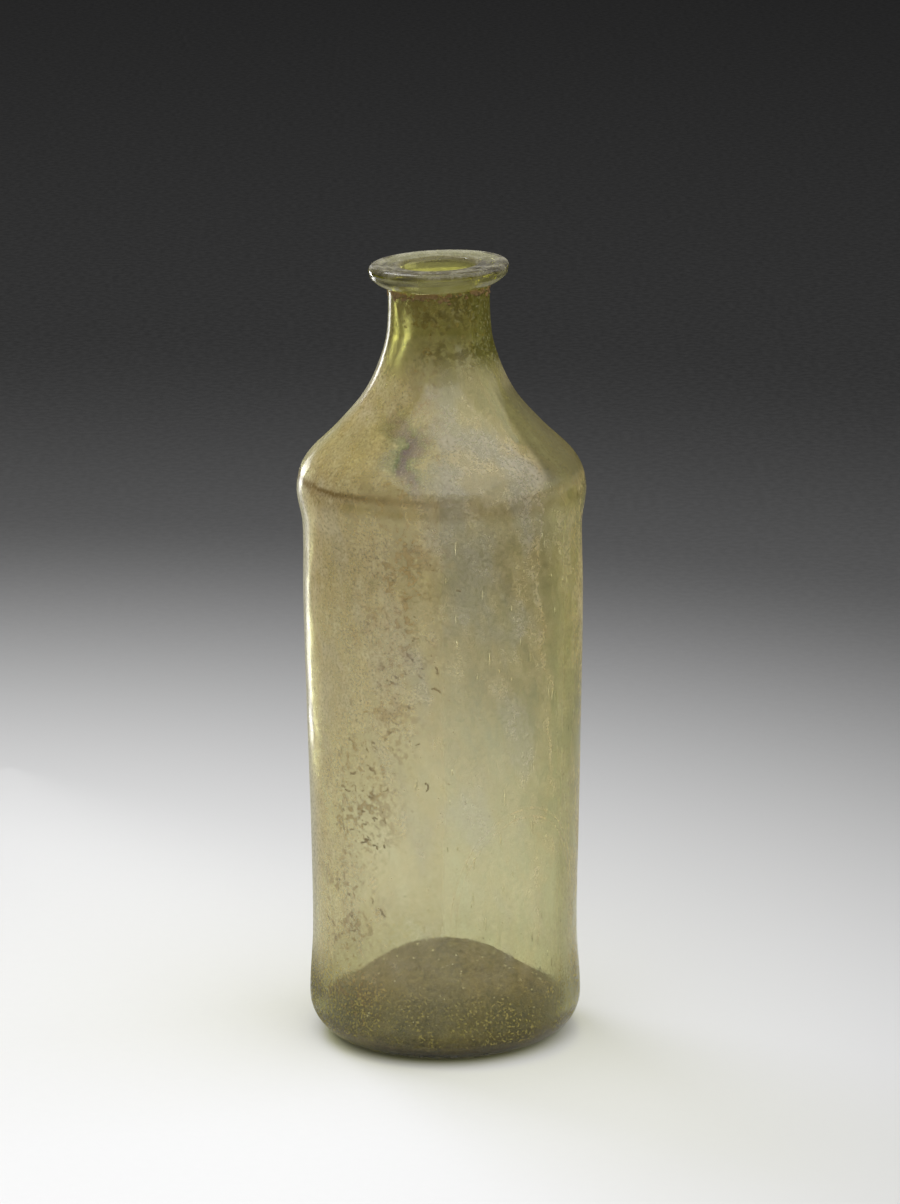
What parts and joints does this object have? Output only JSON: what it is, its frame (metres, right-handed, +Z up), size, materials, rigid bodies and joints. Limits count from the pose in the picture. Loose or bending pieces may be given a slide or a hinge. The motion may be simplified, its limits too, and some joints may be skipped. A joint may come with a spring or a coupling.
{
  "type": "antique glass bottle",
  "caption": "Free-blown cylindrical glass bottle with a pushed-up base, conical shoulder, short neck and flanged lip, open and empty, with dried soil inside.",
  "frame": {"origin": "on the bottle's axis, on the surface it stands on", "axes": "+Z up along the bottle's axis; -X is the side the lip leans down to; -Y faces the viewer"},
  "size_m": [0.0723, 0.0724, 0.2],
  "materials": {
    "body_glass": "thin olive-green glass, weathered to a pale hazy film",
    "lip_glass": "olive-green glass, fire polished",
    "pontil_glass": "rough broken glass",
    "dried_soil": "matte, crumbly",
    "sand": "bright quartz grains",
    "lip_dirt": "matte, dark",
    "soil_flakes": "matte, crumbly"
  },
  "bodies": {
    "root": {"blown_body": "body_glass", "applied_lip": "lip_glass", "pontil_scar": "pontil_glass", "residue_bed": "dried_soil", "sand_grains": "sand", "lip_dirt_ring": "lip_dirt", "wall_flakes": "soil_flakes"}
  },
  "joints": []
}
